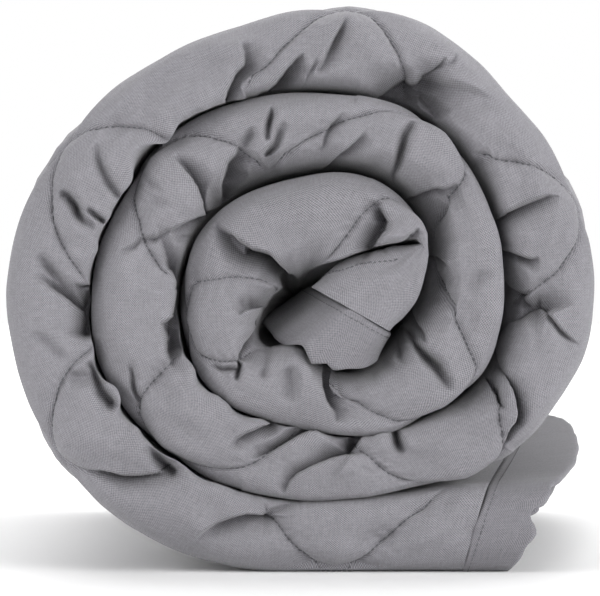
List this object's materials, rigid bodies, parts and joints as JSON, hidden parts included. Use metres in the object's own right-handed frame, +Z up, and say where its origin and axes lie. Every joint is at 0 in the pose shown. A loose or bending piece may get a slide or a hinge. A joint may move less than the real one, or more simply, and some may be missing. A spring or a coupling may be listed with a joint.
{
  "type": "rolled weighted blanket",
  "caption": "Quilted weighted blanket, folded lengthwise and rolled into a thick coil, lying on its side with its bound loose end flat beneath it.",
  "frame": {"origin": "centre of the bounding box at the level of the surface that the roll lies on", "axes": "+Z up; Y along the roll's axis, its folded end towards -Y; +X towards the loose end on the floor"},
  "size_m": [0.2604, 0.4571, 0.2255],
  "materials": {
    "quilted_cotton": "plain-weave cotton, matt, quilted in diamonds",
    "binding_cotton": "plain-weave cotton, matt, flat topstitched band"
  },
  "bodies": {
    "root": {"quilted_body": "quilted_cotton", "binding_loose_end": "binding_cotton", "binding_inner_end": "binding_cotton"}
  },
  "joints": []
}
